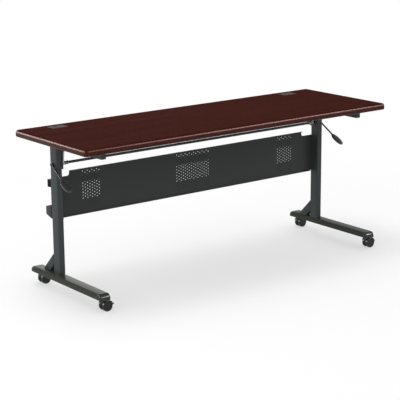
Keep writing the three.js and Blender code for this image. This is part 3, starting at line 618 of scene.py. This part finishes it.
shaft = {"y": 104, "z": 608, "radius": 6.5, "end": 828.8, "edge": 1}
spindle = newRound("crossShaft", shaft["radius"], 2 * shaft["end"], (0, shaft["y"], shaft["z"]), "X", 32)
roundEdges(spindle, shaft["edge"], 3, lambda c, d: abs(d.x) < 0.1)
finishPiece(spindle, finish["charcoal"], "charcoal", "release", "cross_shaft")

spring = {"wire": 1, "radius": 8.5, "start": 759.3, "pitch": 3.4, "turns": 6, "leg": 10, "steps": 24}
coil = [(spring["start"], shaft["y"] + spring["radius"], shaft["z"] - spring["leg"])]
for k in range(spring["turns"] * spring["steps"] + 1):
    a = 2 * math.pi * k / spring["steps"]
    coil.append((spring["start"] - spring["pitch"] * k / spring["steps"],
                 shaft["y"] + spring["radius"] * math.cos(a), shaft["z"] + spring["radius"] * math.sin(a)))
coil.append((coil[-1][0], coil[-1][1], shaft["z"] + spring["leg"]))
wire = newRod("returnSpring", coil, spring["wire"], 2)
finishPair(wire, finish["steel"], "steel", "frame", "return_spring")
print("pivots and shaft made")


# release levers with paddle grips

lever = {"x": 823.8, "hub": 9, "hubLength": 10, "hubEdge": 1.2, "rod": 4.2, "rodStart": 2, "length": 100,
         "lean": 2.5, "dip": 32.5, "gripDip": 30.5, "setback": 7, "socket": 30, "play": 0.2}


def leverWay(dipAngle):  # the way a lever runs when it dips by this angle and leans outward
    lean, dip = math.radians(lever["lean"]), math.radians(dipAngle)
    return Vector((math.sin(lean), -math.cos(lean) * math.cos(dip), -math.cos(lean) * math.sin(dip)))


hubPlace = Vector((lever["x"], shaft["y"], shaft["z"]))
rodWay, gripWay = leverWay(lever["dip"]), leverWay(lever["gripDip"])
bendPlace = hubPlace + rodWay * lever["length"]
softBend = [bendPlace - rodWay * 8, bendPlace - rodWay * 3 + gripWay,
            bendPlace + gripWay * 3, bendPlace + gripWay * 8]
tail = bendPlace + gripWay * (lever["setback"] + lever["socket"])
hub = newRound("releaseLever", lever["hub"], lever["hubLength"], hubPlace, "X")
roundEdges(hub, lever["hubEdge"], 3, lambda c, d: abs(d.x) < 0.1)
rod = newRod("leverRod", [hubPlace + rodWay * lever["rodStart"], *softBend, tail], lever["rod"], 4)
combine(hub, rod, "UNION")
bore = newRound("boreCutter", shaft["radius"] + lever["play"], 2 * lever["hubLength"], hubPlace, "X")
combine(hub, bore, "DIFFERENCE")
finishPair(hub, finish["enamel"], "charcoal", "release", "release_lever")

# each station of the grip gives its place along the grip, its width and its thickness
grip = {"stations": ((0, 15, 11), (5, 20, 12), (14, 33, 13), (26, 41, 14), (46, 42, 14), (65, 37, 13),
                     (77, 27, 12), (82, 14, 8), (84, 6, 4)), "sides": 16, "circle": 2000, "weld": 0.05}
clearSelection()
bpy.ops.mesh.primitive_circle_add(vertices=grip["sides"], radius=grip["circle"] / 2 * mm, fill_type="NGON",
                                  location=(0, 0, 0))
paddle = bpy.context.object
paddle.name = "leverGrip"
bpy.ops.object.mode_set(mode="EDIT")
bpy.ops.mesh.select_all(action="SELECT")
before = (0, grip["circle"], grip["circle"])
for along, wide, thick in grip["stations"]:
    if along:
        bpy.ops.mesh.extrude_region_move(TRANSFORM_OT_translate={"value": (0, 0, (along - before[0]) * mm)})
    bpy.ops.transform.resize(value=(wide / before[1], thick / before[2], 1),
                             center_override=(0, 0, along * mm))
    before = (along, wide, thick)
bpy.ops.mesh.select_all(action="SELECT")
bpy.ops.mesh.normals_make_consistent(inside=False)
bpy.ops.object.mode_set(mode="OBJECT")
paddle.rotation_euler = (math.pi / 2 + math.radians(lever["gripDip"]), 0, math.radians(lever["lean"]))
paddle.location = (bendPlace + gripWay * lever["setback"]) * mm
settle(paddle)
applyModifier(paddle, "SUBSURF", levels=2, render_levels=2)
socketEnds = [bendPlace - gripWay * lever["setback"], tail + gripWay * lever["play"]]
combine(paddle, newRod("socketCutter", socketEnds, lever["rod"] + lever["play"], 4), "DIFFERENCE")
cleanMesh(paddle, grip["weld"])
finishPair(paddle, finish["grip"], "grip", "release", "lever_grip")
print("levers made")


# casters: modelled once round their swivel axis, then copied to the four corners

caster = {"x": 814, "y": 262, "trail": 22.5, "wheel": 25, "width": 15, "spacing": 26, "wheelEdge": 3,
          "hood": 27.5, "room": 26, "roomLength": 60, "hoodWidth": 45, "hoodEdge": 1.2, "hoodSoft": 0.4,
          "skirt": 37, "web": 9.4, "webRadius": 20, "webLow": 13, "neck": 7.5, "neckLow": 39, "neckTop": 57.6,
          "stem": 5, "stemLow": 56.6, "stemTop": 78, "bore": 3.4, "boreEnd": 18.9, "axleFit": 3.2,
          "face": ((3, 0), (0.8, -2), (9, 0), (0.6, 1.2))}
c = caster
axle = (c["trail"], 0, c["wheel"])


def upright(name, radius, low, high, sides):  # a round bar on the swivel axis
    return newRound(name, radius, high - low, (0, 0, (low + high) / 2), "Z", sides)


hood = newRound("casterHood", c["hood"], c["hoodWidth"], axle, "Y", 64)
cutOff(hood, (0, 0, c["skirt"]), (0, 0, -1))
roundEdges(hood, c["hoodEdge"], 4,
           lambda m, d: abs(abs(m.y) - c["hoodWidth"] / 2) < 0.05 and m.z > c["skirt"] + 0.5)
combine(hood, upright("casterNeck", c["neck"], c["neckLow"], c["neckTop"], 40), "UNION")
for side in (-1, 1):
    middle = (c["trail"], side * (c["web"] + c["roomLength"]) / 2, c["wheel"])
    combine(hood, newRound("roomCutter", c["room"], c["roomLength"], middle, "Y", 64), "DIFFERENCE")
web = newRound("casterWeb", c["webRadius"], c["web"], axle, "Y", 48)
cutOff(web, (0, 0, c["webLow"]), (0, 0, -1))
combine(hood, web, "UNION")
combine(hood, upright("casterStem", c["stem"], c["stemLow"], c["stemTop"], 32), "UNION")
combine(hood, newRound("axleCutter", c["axleFit"], 4 * c["web"], axle, "Y", 32), "DIFFERENCE")
cleanMesh(hood)
softenEdges(hood, c["hoodSoft"])
cleanMesh(hood)

wheel = newRound("casterWheel", c["wheel"], c["width"], (c["trail"], c["spacing"] / 2, c["wheel"]), "Y", 64)
roundEdges(wheel, c["wheelEdge"], 4, lambda m, d: abs(d.y) < 0.1)
outer = c["spacing"] / 2 + c["width"] / 2
pick(wheel, "FACE", lambda m, n: n.y > 0.999 and m.y > outer - 0.01)
for width, depth in c["face"]:
    bpy.ops.mesh.inset(thickness=width * mm, depth=depth * mm)
bpy.ops.object.mode_set(mode="OBJECT")
boreMiddle = (c["trail"], c["boreEnd"] / 2, c["wheel"])
combine(wheel, newRound("boreCutter", c["bore"], c["boreEnd"], boreMiddle, "Y", 32), "DIFFERENCE")
wheelFront = turnedCopy(wheel, "casterWheelFront", c["trail"])

pedal = {"from": 42.5, "to": 60.5, "half": 10, "z": (24, 30), "follow": 28.1, "leaf": 30.6, "leafTop": 42,
         "lap": 2, "inset": 0.02, "edge": 0.6}
pedalLow, pedalHigh = pedal["z"]
tab = newRound("brakeTab", pedal["leaf"], 2 * pedal["half"], axle, "Y", 96)
cutOff(tab, (pedal["from"], 0, 0), (-1, 0, 0))
cutOff(tab, (0, 0, pedalLow), (0, 0, -1))
cutOff(tab, (0, 0, pedal["leafTop"]), (0, 0, 1))
plateHalf = pedal["half"] - pedal["inset"]
plate = newBox("tabPlate", (pedal["from"] + pedal["lap"], -plateHalf, pedalLow + pedal["inset"]),
               (pedal["to"], plateHalf, pedalHigh))
combine(tab, plate, "UNION")
combine(tab, newRound("hoodCutter", pedal["follow"], 2 * pedal["leaf"], axle, "Y", 96), "DIFFERENCE")
cleanMesh(tab)
softenEdges(tab, pedal["edge"], 3)
cleanMesh(tab)

for end, y in (("front", -c["y"]), ("rear", c["y"])):
    for side, x in (("right", c["x"]), ("left", -c["x"])):
        corner = end + "_" + side
        place = (x, y, 0)
        shell = copyOf(hood, "casterHood_" + corner + "_shell", place)
        finishPiece(shell, finish["black"], "black", "swivel_" + corner, "caster_hood_" + corner)
        for letter, pattern in (("a", wheelFront), ("b", wheel)):
            roller = copyOf(pattern, "casterWheel" + letter.upper() + "_" + corner, place)
            finishPiece(roller, finish["wheel"], "rubber", "wheel_" + letter + "_" + corner,
                        "caster_wheel_" + letter + "_" + corner)
        paintNode("caster_axle_" + corner, finish["steel"])
        if end == "front":
            lock = copyOf(tab, "brakeTab_" + corner, place)
            finishPiece(lock, finish["grip"], "grip", "pedal_" + corner, "brake_pedal_" + corner)
for pattern in (hood, wheel, wheelFront, tab):
    bpy.data.objects.remove(pattern, do_unlink=True)
print("casters made")


# floor and light

studio = {"floor": 14000, "white": "#fbfbfb", "glow": 0.5, "fade": (1400, 3000), "worldLight": 0.8}
lamps = {"key": {"place": (-600, 700, 5200), "aim": (0, 0, 500), "size": (2400, 1800), "power": 75},
         "fill": {"place": (-4200, -900, 1500), "aim": (0, 0, 400), "size": (1000, 1000), "power": 22},
         # panels that only show as bright lines in glossy surfaces
         "rearPanel": {"place": (-3000, 3300, 1700), "aim": (-900, 0, 745), "size": (2000, 1500),
                       "power": 210, "gloss": True, "missesFeet": True},
         "frontPanel": {"place": (3040, -3540, 2950), "aim": (0, -300, 740), "size": (3400, 1500),
                        "power": 750, "gloss": True, "missesFeet": True},
         "leftPanel": {"place": (-3080, 270, 1425), "aim": (-830, 20, 550), "size": (1500, 1500),
                       "power": 130, "gloss": True, "missesFeet": True},
         "footPanel": {"place": (1200, 4000, 1200), "aim": (-800, -150, 90), "size": (3000, 1200),
                       "power": 20, "gloss": True}}

clearSelection()
bpy.ops.mesh.primitive_circle_add(vertices=96, radius=studio["floor"] * mm, fill_type="NGON",
                                  location=(0, 0, 0))
floor = bpy.context.object
floor.name = "studioFloor"
floorMaterial = bpy.data.materials.new("paleStudioFloor")
floorMaterial.use_nodes = True
tree = floorMaterial.node_tree
tree.nodes.remove(tree.nodes["Principled BSDF"])
spot = addNode(tree, "TexCoord", {}).outputs["Object"]
reach = addNode(tree, "VectorMath", {"operation": "LENGTH"}, [(0, spot)])
fade = addNode(tree, "MapRange", {"interpolation_type": "SMOOTHSTEP", "From Min": studio["fade"][0] * mm,
                                  "From Max": studio["fade"][1] * mm, "To Min": studio["glow"], "To Max": 1},
               [("Value", reach.outputs["Value"])])
paper = addNode(tree, "BsdfDiffuse", {"Color": linear(studio["white"])})
glow = addNode(tree, "Emission", {"Color": (1, 1, 1, 1), "Strength": 1})
both = addNode(tree, "MixShader", {},
               [(0, fade.outputs["Result"]), (1, paper.outputs[0]), (2, glow.outputs[0])])
tree.links.new(both.outputs[0], tree.nodes["Material Output"].inputs["Surface"])
floor.data.materials.append(floorMaterial)

world = bpy.data.worlds.new("studioWorld")
world.use_nodes = True
bpy.context.scene.world = world
tree = world.node_tree
path = addNode(tree, "LightPath", {})
seen = path.outputs["Is Camera Ray"]
for ray in ("Is Glossy Ray", "Is Transmission Ray"):
    seen = addNode(tree, "Math", {"operation": "MAXIMUM"}, [(0, seen), (1, path.outputs[ray])]).outputs[0]
level = addNode(tree, "MapRange", {"To Min": studio["worldLight"], "To Max": 1}, [("Value", seen)])
tree.nodes["Background"].inputs["Color"].default_value = (1, 1, 1, 1)
tree.links.new(level.outputs["Result"], tree.nodes["Background"].inputs["Strength"])

# the panels for the table's edge would whiten the flat tops of the feet, so they pass the feet by
feet = bpy.data.collections.new("feetFlaggedOff")
for name in ("footTubeRight", "footTubeLeft"):
    feet.objects.link(bpy.data.objects[name])
for member in feet.collection_objects:
    member.light_linking.link_state = "EXCLUDE"

for name, lamp in lamps.items():
    data = bpy.data.lights.new(name, "AREA")
    data.shape = "RECTANGLE"
    data.size, data.size_y = lamp["size"][0] * mm, lamp["size"][1] * mm
    data.energy = lamp["power"]
    box = bpy.data.objects.new(name, data)
    bpy.context.scene.collection.objects.link(box)
    place = Vector(lamp["place"])
    box.location = place * mm
    box.rotation_euler = (place - Vector(lamp["aim"])).to_track_quat("Z", "Y").to_euler()
    box.visible_camera = False
    box.visible_diffuse = not lamp.get("gloss", False)
    if lamp.get("missesFeet", False):
        box.light_linking.receiver_collection = feet
print("studio made")
